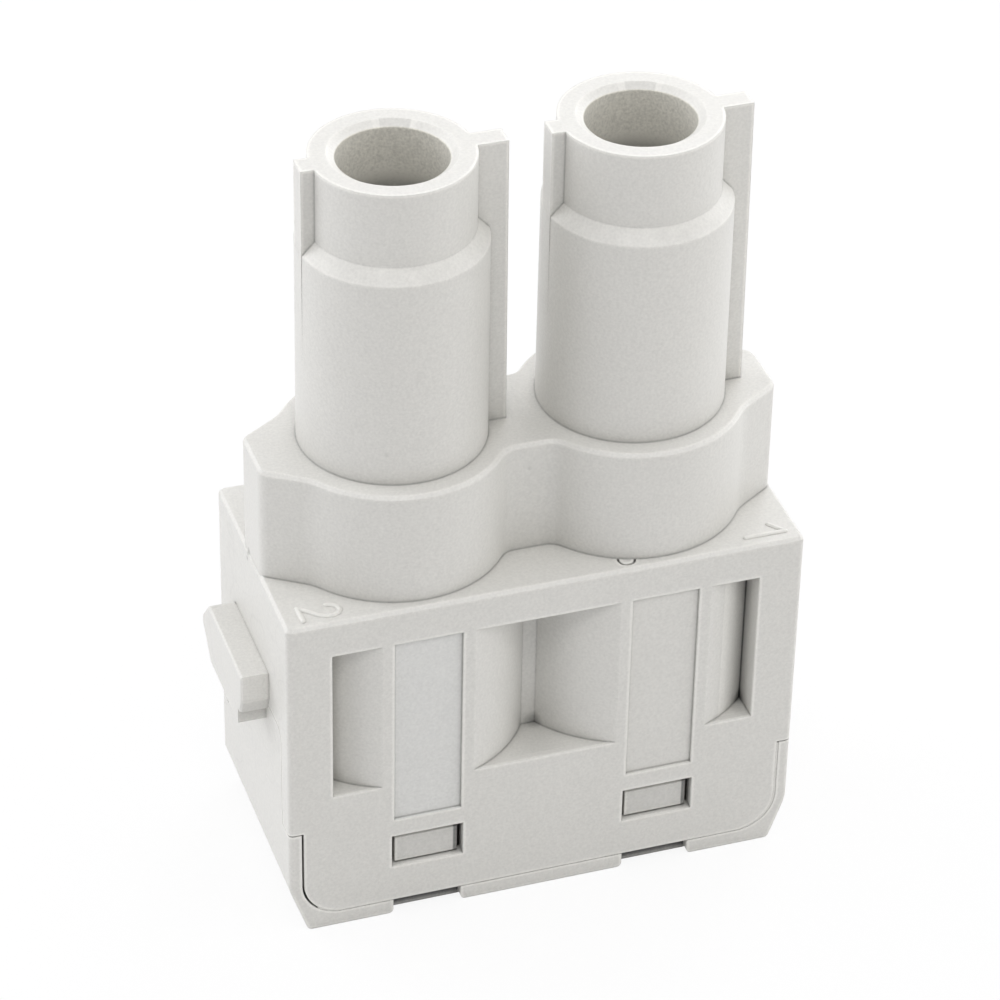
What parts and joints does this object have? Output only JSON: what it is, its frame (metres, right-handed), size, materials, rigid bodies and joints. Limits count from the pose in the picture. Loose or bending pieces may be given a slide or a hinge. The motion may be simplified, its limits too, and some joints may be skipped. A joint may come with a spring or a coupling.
{
  "type": "heavy-duty connector insert",
  "caption": "Two-pole female power insert with bored contact towers on a block, a rectangular body and a clip-on rear cap with retaining lugs.",
  "frame": {"origin": "centre of the underside of the rear cap, below the middle of the body", "axes": "+Z out of the contact towers, X along the body with pole 1 at +X, front face at -Y"},
  "size_m": [0.0342, 0.0146, 0.0473],
  "materials": {
    "housing_plastic": "fine matt moulded surface",
    "cap_plastic": "fine matt moulded surface",
    "contact_plating": "silver plated, satin",
    "spring_steel": "bright strip",
    "screw_steel": "zinc plated"
  },
  "bodies": {
    "root": {"housing": "housing_plastic", "rear_cap": "cap_plastic", "contact_1": "contact_plating", "contact_2": "contact_plating", "contact_spring_1": "spring_steel", "contact_spring_2": "spring_steel", "clamp_screw_1": "screw_steel", "clamp_screw_2": "screw_steel"}
  },
  "joints": []
}
